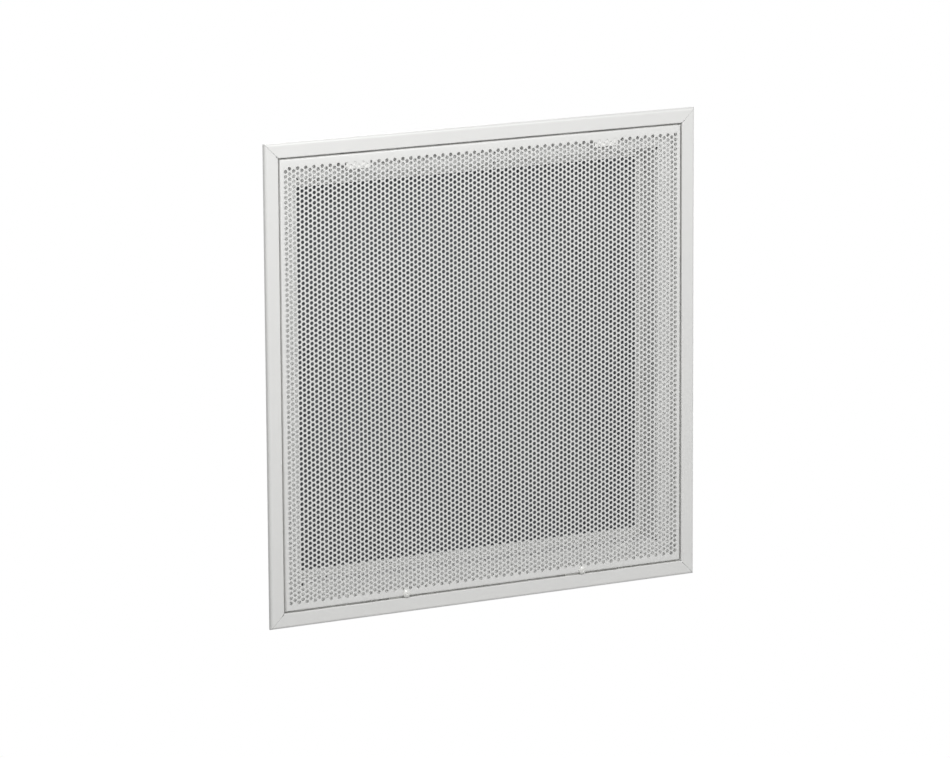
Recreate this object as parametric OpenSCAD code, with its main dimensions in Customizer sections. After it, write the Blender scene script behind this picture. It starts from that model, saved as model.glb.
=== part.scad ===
// Return air filter grille for a 24 inch ceiling or wall opening. A door with a
// perforated face hangs on two gooseneck straps in a mitred frame, and a sheet box
// behind it holds a one inch filter.
// Millimetres. The origin is the middle of the opening, on the plane where the frame
// meets the ceiling or wall. -Y faces the room, +Z is up, and the hinge is at the top.

/* [Frame] */
// Outside width and height of the square frame
panel_size = 606.5; // [580:0.25:640]
// Width of a frame member, seen from the room
frame_w = 18.5; // [16.5:0.5:22]
// Depth of the frame beside the door, from its face to the box
frame_d = 12.7; // [12.4:0.1:18]
// Depth of the outer edge of the frame, which rests on the wall or ceiling
rim_d = 5; // [4.5:0.1:8]
// Wall thickness of a frame member
frame_t = 1.2; // [0.8:0.1:1.4]
// Radius of the rounded outer shoulder
shoulder_r = 3.5; // [2:0.5:4]
// Radius of the edge beside the door
edge_r = 0.8; // [0.3:0.1:1.1]
// Width of the lip at the back of a member beside the door
inner_lip = 7; // [6:0.5:8]
// Width of the lip that seats on the wall or ceiling
seat_lip = 4.5; // [2.5:0.5:5]
// Clearance in each mitre
mitre_gap = 0.4; // [0.1:0.05:0.6]
// Length of the open notch at the inner end of each mitre
notch_l = 4; // [2:0.5:4]
// Width of that notch
notch_w = 1.2; // [0.8:0.1:2]
// Length of a leg of the corner keys
key_leg = 42; // [20:1:60]
// Thickness of the corner keys
key_t = 1.5; // [1:0.1:2]
// Distance of the corner keys from the edge of the opening
key_inset = 3; // [2:0.5:5]

/* [Door] */
// Gap between the door and the frame all round
door_gap = 2.4; // [1.5:0.1:2.8]
// Sheet thickness of the door
door_t = 1; // [0.7:0.1:1.2]
// Depth of the folded edges of the door
door_fold = 9; // [8:0.25:9.5]
// Outside radius of the folds
fold_r = 1.8; // [1.3:0.1:2]

/* [Perforation] */
// Spacing of the holes down a column
hole_pitch = 6.35; // [5:0.05:8]
// Spacing of the columns
column_pitch = 5.556; // [4.4:0.001:7]
// Hole diameter
hole_d = 4.76; // [3:0.01:4.9]
// Real pitches that one modelled hole stands for
hole_group = 3; // [3:1:8]
// Plain margin at the sides of the door, to the first hole centre
side_margin = 7.5; // [6:0.5:20]
// Plain margin at the top of the door, to the first hole centre
top_margin = 11.9; // [8:0.1:30]
// Plain margin at the bottom of the door, to the first hole centre
bottom_margin = 10.2; // [8:0.1:30]

/* [Hinge] */
// Distance of the middle of each hinge from the side of the door
hinge_inset = 107.5; // [60:0.5:115]
// Width of a hinge strap
strap_w = 33; // [20:1:36]
// Sheet thickness of a hinge strap
strap_t = 1; // [0.8:0.1:1.1]
// Length of the strap's tail down the back of the face
strap_tail = 16; // [8:1:30]
// Diameter of the hinge pins
pin_d = 2.4; // [1.6:0.1:2.5]
// Distance of the pins behind the face
pin_back = 3.6; // [3.4:0.1:3.8]
// Height of the pins above the edge of the opening
pin_rise = 4.2; // [4.2:0.1:5.2]
// Sheet thickness of the hinge brackets
bracket_t = 1.2; // [0.8:0.1:1.5]

/* [Latches] */
// Distance of the middle of each latch tongue from the side of the door
latch_inset = 156; // [153:0.1:180]
// Width of a latch tongue
tongue_w = 22; // [16:1:24]
// Thickness of a latch bolt
bolt_t = 4; // [3:0.1:4.2]
// Distance of a bolt behind the face
bolt_back = 3.2; // [3:0.1:6]
// Height of the bar across the top of a bolt
bar_h = 4.5; // [3:0.5:6]
// How far a bolt travels into the frame
latch_travel = 3; // [2:0.1:3.5]
// Distance of a thumb button from the middle of its tongue
button_x = 11.8; // [10:0.1:13]
// Diameter of a thumb button
button_d = 10; // [9:0.5:12]
// Height of a thumb button, cut flat at the top and the bottom
button_h = 9.4; // [8:0.1:12]
// Thickness of a thumb button at its middle
button_t = 2.6; // [2:0.1:4]
// Sheet thickness of a latch guide
guide_t = 0.8; // [0.6:0.1:1]

/* [Filter box] */
// Distance of the walls of the box from the edge of the opening
box_inset = 30.75; // [24:0.25:45]
// Depth of the box behind the frame
box_d = 49.8; // [40:0.1:120]
// Sheet thickness of the box
box_t = 0.8; // [0.6:0.1:1.2]
// Outside radius of the folds of the box
box_r = 1.6; // [1.3:0.1:3]
// Width of the rear flange that holds the filter
rear_flange = 18; // [12:1:40]
// How far the front flange laps the back of the frame
flange_lap = 6; // [5:0.5:6.5]
// Diameter of the relief holes at the corners of the box
relief_d = 4.4; // [3:0.1:6]
// Diameter of the rivets
rivet_d = 3.2; // [2.4:0.1:3.5]
// Distance of the outer rivets of a side from the corner of the box
rivet_inset = 24; // [16:1:80]
// Distance of the inner rivets of a side from its middle
rivet_middle = 60; // [20:1:120]

/* [Filter] */
// How much smaller the filter is than the inside of the box
filter_play = 3; // [2:0.5:30]
// Thickness of the filter
filter_t = 19.6; // [12:0.1:26]
// Width of the filter frame, seen from the front
filter_border = 11; // [8:0.5:25]
// Sheet thickness of the filter frame
channel_t = 0.8; // [0.5:0.1:1]
// Outside radius of the folds of the filter frame
channel_r = 1.2; // [1.1:0.1:2]
// Spacing of the bars of the support screen
screen_pitch = 39; // [20:1:80]
// Width of a bar of the support screen
screen_bar = 2; // [1:0.25:4]
// Distance of the filter clips from the side of the box
clip_inset = 44; // [24:1:100]
// Width of a filter clip
clip_w = 14; // [8:1:24]
// Height of a filter clip in front of the filter
clip_h = 8; // [5:0.5:12]

/* [Hidden] */
$fn = 48;

// Colours
white_paint = "#e9e9e7";
box_paint = "#dededc";
zinc = "#b9bcbe";
dark_steel = "#3a3a3a";
pale_plastic = "#f2f2ee";
mastic = "#222222";
channel_grey = "#c9cac8";
media_grey = "#35373a";

// Cutters run this far past what they cut
past = 1;
// Clearances of sliding pieces, of a pin in its strap, of a rivet or pin across its
// hole, of what sits inside the frame, of a tongue in its slot, and in the corner
// seams of the box
slide_gap = 0.3;
pin_gap = 0.05;
hole_play = 0.1;
seat_gap = 0.2;
tongue_gap = 0.5;
seam_gap = 0.05;
// Least inside radius of a fold
tight_r = 0.1;

// The room face of the frame and the door, and the front of the box
face_y = -rim_d;
box_y = face_y + frame_d;
opening = panel_size - 2 * frame_w;
door_size = opening - 2 * door_gap;
door_half = door_size / 2;

// The box and the filter, which rests on its floor, against the rear flange
box_size = opening - 2 * box_inset;
box_half = box_size / 2;
filter_size = box_size - filter_play;
filter_z = -filter_play / 2;
filter_back = box_y + box_d - box_t;
filter_front = filter_back - filter_t;
window = filter_size - 2 * filter_border;
pocket = filter_size - 2 * channel_r;
media_t = filter_t - 2 * channel_t;
screen_t = 1;
clip_x = box_half - clip_inset;
clip_l = 12;
clip_t = 0.8;

// Rivets along a side, from its middle, and their heads
side_rivets = [rivet_inset - box_half, -rivet_middle, rivet_middle, box_half - rivet_inset];
rivet_z = opening / 2 + inner_lip / 2;
shank_d = rivet_d - hole_play;
rivet_head_d = 1.9 * rivet_d;
rivet_tail_d = 1.6 * rivet_d;
// In the hollow of the frame a tail stays clear of the wall beside it
hollow_tail_d = inner_lip - 2 * frame_t - hole_play;
rivet_head_t = 1;

// Hinge places
hinge_x = door_half - hinge_inset;
pin_y = face_y + pin_back;
pin_z = opening / 2 + pin_rise;
pin_head_d = 1.4 * pin_d;
pin_head_t = 0.8;
curl_r = pin_d / 2 + strap_t;
riser_back = door_fold + slide_gap;
shelf_drop = 1.5;
ear_gap = 0.5;
ear_x = strap_w / 2 + ear_gap;
foot_l = 8;
foot_x = ear_x + bracket_t + foot_l;
hinge_rivet_x = ear_x + bracket_t + foot_l / 2;
hinge_rivet_y = face_y + 6;
hinge_slot_w = strap_w + 3;
hinge_slot_front = 2;
hinge_slot_back = riser_back + strap_t + 2 * slide_gap;
bracket_front = frame_t + seat_gap;
bracket_back = riser_back + strap_t + seat_gap;

// Latch places, measured from the middle of the tongue and up from the lower edge of
// the door. The stem joins the bolt to its button, which hangs a little past the edge
latch_x = door_half - latch_inset;
latch_slot_w = tongue_w + 2 * tongue_gap;
tip_z = slide_gap - door_gap;
bar_z = door_t + latch_travel + slide_gap;
bar_x0 = -tongue_w / 2 - 3;
bar_x1 = button_x + 4;
stem_w = 4;
stem_h = 3;
stem_drop = 2.2;
stem_z = bar_z - stem_drop;
button_drop = 1.4;
button_z = button_h / 2 - button_drop;
button_gap = 0.4;
rim_t = 0.35 * button_t;
dimple_r = 3;
dimple_depth = 0.6;
bolt_end = bolt_back + bolt_t;
guide_z = bar_z + bar_h + slide_gap + guide_t;
guide_front = bolt_back - slide_gap - guide_t;
guide_foot = 9;
guide_foot_w = door_fold - guide_front - guide_t;
guide_rivet_x = [bar_x0 - slide_gap - guide_t - guide_foot / 2,
                 bar_x1 + slide_gap + guide_t + guide_foot / 2];
guide_rivet_y = guide_front + guide_foot_w / 2;
latch_rivet_d = 2.6;
latch_shank_d = latch_rivet_d - hole_play;
latch_rivet_head_d = 1.7 * latch_rivet_d;

// Both sides of a pair, and a play against rounding where holes are counted
sides = [-1, 1];
rounding = 0.01;

// Sections, drawn as X = depth along Y and Y = distance up along Z

// A quarter ring about the origin, open towards the corner that quad points at
module fold(r, t, quad) {
    intersection() {
        difference() {
            circle(r);
            circle(r - t);
        }
        translate([quad[0] > 0 ? 0 : -r, quad[1] > 0 ? 0 : -r]) square(r);
    }
}

// A rectangle from the face back to depth d, with its two front corners rounded
module rounded_front(w, d, r_in, r_out) {
    translate([0, r_in]) square([d, w - r_in - r_out]);
    translate([r_in, 0]) square([d - r_in, r_in]);
    translate([r_out, w - r_out]) square([d - r_out, r_out]);
    translate([r_in, r_in]) circle(r_in);
    translate([r_out, w - r_out]) circle(r_out);
}

// A folded frame member: face, rounded shoulder, a deep wall beside the door, a low wall
// outside, and a lip at the back of each
module frame_section() {
    hollow_r = max(shoulder_r - frame_t, tight_r);
    difference() {
        rounded_front(frame_w, frame_d, edge_r, shoulder_r);
        difference() {
            translate([frame_t, frame_t])
                rounded_front(frame_w - 2 * frame_t, frame_d, tight_r, hollow_r);
            translate([frame_d - frame_t, 0]) square([frame_t, inner_lip]);
            translate([rim_d - frame_t, frame_w - seat_lip]) square([frame_t, seat_lip]);
        }
        translate([rim_d, inner_lip]) square([frame_d, frame_w]);
    }
}

// A side of the box: front flange, wall and rear flange with rounded folds
module box_section() {
    flange_end = opening / 2 + flange_lap;
    translate([0, box_half + box_r]) square([box_t, flange_end - box_half - box_r]);
    translate([box_r, box_half + box_r]) fold(box_r, box_t, [-1, -1]);
    translate([box_r, box_half]) square([box_d - 2 * box_r, box_t]);
    translate([box_d - box_r, box_half + box_t - box_r]) fold(box_r, box_t, [1, 1]);
    translate([box_d - box_t, box_half - rear_flange])
        square([box_t, rear_flange + box_t - box_r]);
}

// A folded edge of the door
module door_edge_section() {
    translate([fold_r, door_half - fold_r]) fold(fold_r, door_t, [-1, 1]);
    translate([fold_r, door_half - door_t]) square([door_fold - fold_r, door_t]);
}

// Solids that more than one piece is made of

// Sweeps a section along X
module along_x(length) {
    rotate([90, 0, 90]) translate([0, 0, -length / 2]) linear_extrude(length) children();
}

// Keeps what lies in the upper quarter of the panel, between its two mitres
module mitred(gap) {
    reach = panel_size;
    intersection() {
        children();
        translate([0, reach, gap / 2]) rotate([90, 0, 0])
            linear_extrude(2 * reach) polygon([[0, 0], [reach, reach], [-reach, reach]]);
    }
}

// Turns the piece at the top of the panel to another side
module to_side(turn) {
    rotate([0, turn, 0]) children();
}

module rivet_holes(d) {
    for (x = side_rivets)
        translate([x, box_y, rivet_z]) rotate([90, 0, 0])
            cylinder(d = d, h = 4 * frame_t, center = true);
}

module frame_member() {
    difference() {
        mitred(mitre_gap)
            translate([0, face_y, opening / 2]) along_x(panel_size) frame_section();
        rivet_holes(rivet_d);
        for (s = sides)
            translate([s * opening / 2, face_y + frame_d / 2, opening / 2]) rotate([0, -s * 45, 0])
                cube([2 * notch_l, frame_d + 2 * past, notch_w], center = true);
    }
}

// The windows for the straps and the tongues, with the holes for the hinge rivets
module frame_slots() {
    cut_z = opening / 2 - past;
    cut_h = frame_t + 2 * past;
    for (s = sides) {
        translate([s * hinge_x - hinge_slot_w / 2, face_y + hinge_slot_front, cut_z])
            cube([hinge_slot_w, hinge_slot_back - hinge_slot_front, cut_h]);
        translate([s * latch_x - latch_slot_w / 2, face_y + bolt_back - tongue_gap, cut_z])
            cube([latch_slot_w, bolt_t + 2 * tongue_gap, cut_h]);
    }
}

module hinge_rivet_holes() {
    for (s = sides, e = sides)
        translate([s * hinge_x + e * hinge_rivet_x, hinge_rivet_y, opening / 2 - past])
            cylinder(d = rivet_d, h = frame_t + 2 * past);
}

module box_side() {
    difference() {
        mitred(seam_gap) translate([0, box_y, 0]) along_x(panel_size) box_section();
        rivet_holes(rivet_d);
        for (s = sides)
            translate([s * box_half, box_y - past, box_half]) rotate([-90, 0, 0])
                cylinder(d = relief_d, h = past + 2 * box_r);
    }
}

// A flat L behind the face of two members, for the top right corner or turned over
// to another one
module corner_key(turn_x, turn_z) {
    inner = opening / 2 + key_inset;
    outer = opening / 2 + frame_w - shoulder_r - seat_gap;
    color(zinc)
    mirror([turn_x, 0, 0]) mirror([0, 0, turn_z])
        translate([0, face_y + frame_t + key_t, 0]) rotate([90, 0, 0])
            linear_extrude(key_t) difference() {
                translate([outer - key_leg, outer - key_leg]) square(key_leg);
                translate([outer - key_leg - past, outer - key_leg - past])
                    square(key_leg + past - (outer - inner));
            }
}

// A hinge, drawn about the middle of its strap
module hinge_strap() {
    shelf = door_half - door_t - shelf_drop;
    tail_end = shelf - strap_tail;
    riser_top = pin_z + strap_t / 2;
    riser_y = face_y + riser_back;
    color(white_paint)
    along_x(strap_w) difference() {
        union() {
            translate([face_y + door_t, tail_end]) square([strap_t, shelf - tail_end]);
            translate([face_y + door_t, shelf - strap_t])
                square([riser_y + strap_t - face_y - door_t, strap_t]);
            translate([riser_y, shelf - strap_t])
                square([strap_t, riser_top - shelf + strap_t]);
            translate([pin_y, riser_top - strap_t])
                square([riser_y + strap_t - pin_y, strap_t]);
            translate([pin_y, pin_z]) circle(curl_r);
        }
        translate([pin_y, pin_z]) circle(pin_d / 2 + pin_gap);
    }
}

module hinge_pin() {
    head_x = ear_x + bracket_t;
    color(zinc)
    translate([0, pin_y, pin_z]) rotate([0, 90, 0]) {
        cylinder(d = pin_d, h = 2 * head_x, center = true);
        for (s = sides)
            translate([0, 0, s * (head_x + pin_head_t / 2)])
                cylinder(d = pin_head_d, h = pin_head_t, center = true);
    }
}

// A strip folded into a hat: two feet on the frame, two ears and a bridge over the strap
module hinge_bracket() {
    base_z = opening / 2 + frame_t;
    bridge_z = pin_z + curl_r + slide_gap;
    bridge_w = 2 * (ear_x + bracket_t);
    bracket_w = bracket_back - bracket_front;
    color(zinc)
    difference() {
        translate([0, face_y + bracket_front, base_z]) {
            for (s = sides) {
                translate([s * (ear_x + foot_x) / 2, bracket_w / 2, bracket_t / 2])
                    cube([foot_x - ear_x, bracket_w, bracket_t], center = true);
                translate([s * (ear_x + bracket_t / 2) - bracket_t / 2, 0, 0])
                    cube([bracket_t, bracket_w, bridge_z - base_z + bracket_t]);
            }
            translate([-bridge_w / 2, 0, bridge_z - base_z])
                cube([bridge_w, bracket_w, bracket_t]);
        }
        translate([0, pin_y, pin_z]) rotate([0, 90, 0])
            cylinder(d = pin_d + hole_play, h = 2 * foot_x, center = true);
        for (s = sides)
            translate([s * hinge_rivet_x, hinge_rivet_y, base_z - past])
                cylinder(d = rivet_d, h = bracket_t + 2 * past);
    }
}

// A latch, drawn about the middle of its tongue and up from the door's lower edge
module at_latch(s) {
    translate([s * latch_x, face_y, -door_half]) children();
}

module latch_bolt() {
    color(channel_grey) {
        translate([bar_x0, bolt_back, bar_z]) cube([bar_x1 - bar_x0, bolt_t, bar_h]);
        translate([-tongue_w / 2, bolt_back, tip_z]) cube([tongue_w, bolt_t, bar_z - tip_z]);
        translate([button_x - stem_w / 2, -button_gap, stem_z])
            cube([stem_w, bolt_end + button_gap, stem_h]);
    }
}

// A low dome with a finger dimple
module latch_button() {
    dome_r = (pow(button_d / 2, 2) + pow(button_t - rim_t, 2)) / (2 * (button_t - rim_t));
    color(pale_plastic)
    intersection() {
        translate([button_x, -button_gap, button_z]) rotate([90, 0, 0]) difference() {
            intersection() {
                cylinder(d = button_d, h = button_t);
                translate([0, 0, button_t - dome_r]) sphere(dome_r);
            }
            translate([0, 0, button_t + dimple_r - dimple_depth]) sphere(dimple_r);
        }
        translate([button_x - button_d, -2 * button_t, button_z - button_h / 2])
            cube([2 * button_d, 3 * button_t, button_h]);
    }
}

// A cap over the bar, open at the bottom, with two feet on the folded edge
module latch_guide() {
    x0 = bar_x0 - slide_gap;
    x1 = bar_x1 + slide_gap;
    y0 = bolt_back - slide_gap;
    y1 = bolt_end + slide_gap;
    color(white_paint)
    difference() {
        union() {
            translate([x0 - guide_t, guide_front, door_t])
                cube([x1 - x0 + 2 * guide_t, y1 - y0 + 2 * guide_t, guide_z - door_t]);
            translate([x0 - guide_t - guide_foot, guide_front, door_t])
                cube([x1 - x0 + 2 * guide_t + 2 * guide_foot, guide_foot_w, guide_t]);
        }
        translate([x0, y0, door_t - past]) cube([x1 - x0, y1 - y0, guide_z - guide_t - door_t + past]);
        translate([button_x - stem_w / 2 - slide_gap, 0, 0])
            cube([stem_w + 2 * slide_gap, y1, stem_z + stem_h + slide_gap]);
        for (x = guide_rivet_x) translate([x, guide_rivet_y, 0])
            cylinder(d = latch_rivet_d, h = door_t + guide_t + past);
    }
}

// The notch for a tongue, which the door has in its upper edge as well
module tongue_cut() {
    translate([-latch_slot_w / 2, bolt_back - slide_gap, -past])
        cube([latch_slot_w, door_fold, door_t + past]);
}

// The notches in the door for the tongue and the stem, and the guide's rivet holes
module latch_cuts() {
    tongue_cut();
    translate([button_x - stem_w / 2 - slide_gap, -past, -past])
        cube([stem_w + 2 * slide_gap, door_fold + 2 * past, stem_z + stem_h + slide_gap + past]);
    for (x = guide_rivet_x) translate([x, guide_rivet_y, -past])
        cylinder(d = latch_rivet_d, h = door_t + 2 * past);
}

// Every second column of holes stands half a pitch higher
module perforated_door() {
    plate = door_size - 2 * fold_r;
    step_x = column_pitch * hole_group;
    step_z = hole_pitch * hole_group;
    field_w = door_size - 2 * side_margin;
    field_h = door_size - top_margin - bottom_margin;
    drawn_d = hole_d * hole_group;
    columns = floor((field_w + hole_d - drawn_d) / step_x + rounding) + 1;
    rows = floor((field_h + hole_d - drawn_d) / step_z - 0.5 + rounding) + 1;
    field_z = (bottom_margin - top_margin) / 2;
    color(white_paint)
    difference() {
        union() {
            translate([0, face_y + door_t, 0]) rotate([90, 0, 0]) linear_extrude(door_t)
                difference() {
                    square(plate, center = true);
                    for (i = [0 : columns - 1], j = [0 : rows - 1])
                        translate([(i - (columns - 1) / 2) * step_x,
                                   field_z + (j - (rows - 1) / 2 + (i % 2 - 0.5) / 2) * step_z])
                            circle(d = drawn_d);
                }
            for (turn = [0 : 90 : 270]) to_side(turn)
                mitred(0) translate([0, face_y, 0]) along_x(door_size) door_edge_section();
        }
        for (s = sides) {
            at_latch(s) latch_cuts();
            mirror([0, 0, 1]) at_latch(s) tongue_cut();
        }
    }
}

// A side of the filter frame: a channel with its two lips towards the middle
module channel_section() {
    half = filter_size / 2;
    for (y = [filter_front, filter_back - channel_t])
        translate([y, half - filter_border]) square([channel_t, filter_border - channel_r]);
    translate([filter_front + channel_r, half - channel_r]) fold(channel_r, channel_t, [-1, 1]);
    translate([filter_back - channel_r, half - channel_r]) fold(channel_r, channel_t, [1, 1]);
    translate([filter_front + channel_r, half - channel_t])
        square([filter_t - 2 * channel_r, channel_t]);
}

module filter_frame() {
    color(channel_grey)
    translate([0, 0, filter_z])
        for (turn = [0 : 90 : 270]) to_side(turn)
            mitred(0) along_x(filter_size) channel_section();
}

module filter_media() {
    color(media_grey)
    translate([0, (filter_front + filter_back - screen_t) / 2, filter_z])
        cube([pocket, media_t - screen_t, pocket], center = true);
}

// A grid of flat bars that backs the media inside the channel
module filter_screen() {
    bars = floor(window / screen_pitch);
    color(zinc)
    translate([0, filter_back - channel_t, filter_z]) rotate([90, 0, 0]) linear_extrude(screen_t) {
        for (i = [0 : bars]) {
            translate([(i - bars / 2) * screen_pitch, 0]) square([screen_bar, pocket], center = true);
            translate([0, (i - bars / 2) * screen_pitch]) square([pocket, screen_bar], center = true);
        }
    }
}

// A bent clip on the wall of the box, drawn on the floor at the middle
module filter_clip() {
    leg_y = filter_front - slide_gap;
    translate([0, leg_y - clip_l / 2, clip_t / 2]) difference() {
        cube([clip_w, clip_l, clip_t], center = true);
        cylinder(d = rivet_d, h = 2 * clip_t, center = true);
    }
    translate([-clip_w / 2, leg_y - clip_t, 0]) cube([clip_w, clip_t, clip_h]);
}

// Places something at each filter clip, on the floor and under the top of the box
module at_clips() {
    for (s = sides) {
        translate([s * clip_x, 0, -box_half]) children();
        translate([s * clip_x, 0, box_half]) mirror([0, 0, 1]) children();
    }
}

module clip_holes() {
    at_clips() translate([0, filter_front - slide_gap - clip_l / 2, -past - box_t])
        cylinder(d = rivet_d, h = box_t + 2 * past);
}

// One module for each node

module frame_top() {
    color(white_paint) difference() {
        frame_member();
        frame_slots();
        hinge_rivet_holes();
    }
}
module frame_bottom() {
    color(white_paint) to_side(180) difference() {
        frame_member();
        frame_slots();
    }
}
module frame_left() {
    color(white_paint) to_side(-90) frame_member();
}
module frame_right() {
    color(white_paint) to_side(90) frame_member();
}

module box_top() {
    color(box_paint) difference() {
        box_side();
        clip_holes();
    }
}
module box_bottom() {
    color(box_paint) difference() {
        to_side(180) box_side();
        clip_holes();
    }
}
module box_left() {
    color(box_paint) to_side(-90) box_side();
}
module box_right() {
    color(box_paint) to_side(90) box_side();
}

module corner_plugs() {
    color(mastic)
    for (sx = sides, sz = sides)
        translate([sx * box_half, box_y + box_t / 2, sz * box_half]) rotate([-90, 0, 0])
            cylinder(d = relief_d, h = 2 * box_r - box_t / 2);
}

module box_rivets() {
    color(zinc)
    for (turn = [0 : 90 : 270], x = side_rivets)
        to_side(turn) translate([x, box_y + box_t, rivet_z]) rotate([90, 0, 0]) {
            cylinder(d = shank_d, h = frame_t + box_t);
            translate([0, 0, -rivet_head_t]) cylinder(d = rivet_head_d, h = rivet_head_t);
            translate([0, 0, frame_t + box_t]) cylinder(d = hollow_tail_d, h = rivet_head_t);
        }
}

module filter_clips() {
    color(zinc) at_clips() filter_clip();
}

module clip_rivets() {
    color(dark_steel)
    at_clips() translate([0, filter_front - slide_gap - clip_l / 2, -box_t]) {
        cylinder(d = shank_d, h = box_t + clip_t);
        translate([0, 0, box_t + clip_t]) cylinder(d = rivet_tail_d, h = rivet_head_t);
        translate([0, 0, -rivet_head_t]) cylinder(d = rivet_tail_d, h = rivet_head_t);
    }
}

module hinge_rivets() {
    base_z = opening / 2;
    color(zinc)
    for (s = sides, e = sides)
        translate([s * hinge_x + e * hinge_rivet_x, hinge_rivet_y, base_z]) {
            cylinder(d = shank_d, h = frame_t + bracket_t);
            translate([0, 0, frame_t + bracket_t]) cylinder(d = rivet_tail_d, h = rivet_head_t);
        }
}

module latch_rivets() {
    color(zinc)
    for (s = sides) at_latch(s) for (x = guide_rivet_x)
        translate([x, guide_rivet_y, 0]) {
            cylinder(d = latch_shank_d, h = door_t + guide_t);
            translate([0, 0, door_t + guide_t])
                cylinder(d = latch_rivet_head_d, h = rivet_head_t);
        }
}

frame_top();
frame_bottom();
frame_left();
frame_right();
corner_key(1, 0);  // corner_key_top_left
corner_key(0, 0);  // corner_key_top_right
corner_key(1, 1);  // corner_key_bottom_left
corner_key(0, 1);  // corner_key_bottom_right
box_top();
box_bottom();
box_left();
box_right();
corner_plugs();
box_rivets();
filter_frame();
filter_media();
filter_screen();
filter_clips();
clip_rivets();
translate([-hinge_x, 0, 0]) hinge_bracket();  // hinge_bracket_left
translate([hinge_x, 0, 0]) hinge_bracket();  // hinge_bracket_right
translate([-hinge_x, 0, 0]) hinge_pin();  // hinge_pin_left
translate([hinge_x, 0, 0]) hinge_pin();  // hinge_pin_right
hinge_rivets();
perforated_door();
translate([-hinge_x, 0, 0]) hinge_strap();  // hinge_strap_left
translate([hinge_x, 0, 0]) hinge_strap();  // hinge_strap_right
at_latch(-1) latch_guide();  // latch_guide_left
at_latch(1) latch_guide();  // latch_guide_right
latch_rivets();
at_latch(-1) latch_bolt();  // latch_bolt_left
at_latch(1) latch_bolt();  // latch_bolt_right
at_latch(-1) latch_button();  // latch_button_left
at_latch(1) latch_button();  // latch_button_right
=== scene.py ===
import math

import bmesh
import bpy
from bpy.props import FloatProperty, FloatVectorProperty, IntProperty, PointerProperty
from mathutils import Matrix, Vector, noise
from mathutils.geometry import delaunay_2d_cdt


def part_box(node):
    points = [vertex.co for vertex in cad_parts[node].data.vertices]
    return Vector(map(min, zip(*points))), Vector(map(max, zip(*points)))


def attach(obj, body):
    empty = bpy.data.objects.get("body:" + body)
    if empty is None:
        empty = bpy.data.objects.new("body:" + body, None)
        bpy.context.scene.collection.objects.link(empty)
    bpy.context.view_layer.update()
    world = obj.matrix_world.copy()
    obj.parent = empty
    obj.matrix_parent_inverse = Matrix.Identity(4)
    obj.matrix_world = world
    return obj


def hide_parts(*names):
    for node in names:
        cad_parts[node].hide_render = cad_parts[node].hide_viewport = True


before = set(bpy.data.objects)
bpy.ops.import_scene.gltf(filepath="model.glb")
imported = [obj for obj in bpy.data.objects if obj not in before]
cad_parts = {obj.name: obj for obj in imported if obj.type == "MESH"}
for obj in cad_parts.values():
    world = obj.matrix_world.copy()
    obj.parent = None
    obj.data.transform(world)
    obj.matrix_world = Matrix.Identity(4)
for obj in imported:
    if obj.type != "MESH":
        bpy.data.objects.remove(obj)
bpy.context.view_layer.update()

bl_info = {
    "name": "Return Air Filter Grille",
    "version": (1, 0, 0),
    "blender": (4, 5, 0),
    "location": "View3D > Sidebar > Filter Grille",
    "description": "Dresses the packed return air filter grille and lights it in a studio",
    "category": "Object",
}

MM = 0.001

# Places that the packed model gives, in metres
DOOR_LOW, DOOR_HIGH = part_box("perforated_door")
PAD_LOW, PAD_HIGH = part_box("filter_media")
DOOR_HALF = DOOR_HIGH.x
FACE_Y = DOOR_LOW.y

# Places closer than this count as one
SAME = 0.01 * MM
# Doubled points of a mesh made in code are joined within this distance
WELD = 0.002 * MM
# Corners of neighbouring cells are matched on a grid of this size
CORNER_GRID = 0.1 * MM
# Tolerance of the triangles in the margin of the door
MARGIN_TOLERANCE = 0.0005 * MM

# Share of a rivet head's height that its straight rim takes, below the dome
RIVET_BRIM = 0.25

# The lips of the channel cover this much of the filter pad all round
LIP = 9.8 * MM
# The pad rises over this width inside the lips
PAD_SLOPE = 4 * MM
# Size of the tufts on the pad
TUFT = 5 * MM
# Share of the loose fibres that stays up where the screen presses on the back
PRESSED = 0.3
# The front bulges by this share of the swell at the back
FRONT_SWELL = 0.6

# A Mix node's two colour inputs and its colour output
MIX_A, MIX_B, MIX_RESULT = 6, 7, 2

# Half the side of the floor, and where its paper starts and ends to fade, in metres
FLOOR_HALF = 20.0
FADE_START, FADE_END = 1.3, 2.6
# Property, side and place of each lamp, in metres
LAMPS = (
    ("key", 1.3, (0.5, -2.1, 1.4)),
    ("side", 1.0, (-1.15, -0.85, 1.05)),
    ("back", 1.3, (0.5, 2.2, 1.3)),
)


def linear(code):
    """Turns an sRGB hex code into the linear colour that a shader takes."""
    parts = [int(code[i : i + 2], 16) / 255 for i in (1, 3, 5)]
    return tuple(c / 12.92 if c <= 0.04045 else ((c + 0.055) / 1.055) ** 2.4 for c in parts)


def length(name, text, millimetres):
    """A length that a user may change, with its default in millimetres."""
    return FloatProperty(
        name=name, description=text, default=millimetres * MM, min=0.0, precision=5,
        subtype="DISTANCE", unit="LENGTH",
    )


def colour(name, text, code):
    """A colour that a user may change, with its default as an sRGB hex code."""
    return FloatVectorProperty(
        name=name, description=text, default=linear(code), subtype="COLOR", min=0.0, max=1.0,
    )


def angle(name, text, degrees):
    """An angle that a user may change, with its default in degrees."""
    return FloatProperty(
        name=name, description=text, default=math.radians(degrees),
        subtype="ANGLE", unit="ROTATION",
    )


def power(name, text, watts):
    """The power of a lamp that a user may change."""
    return FloatProperty(
        name=name, description=text, default=watts, min=0.0, subtype="POWER", unit="POWER",
    )


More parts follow.
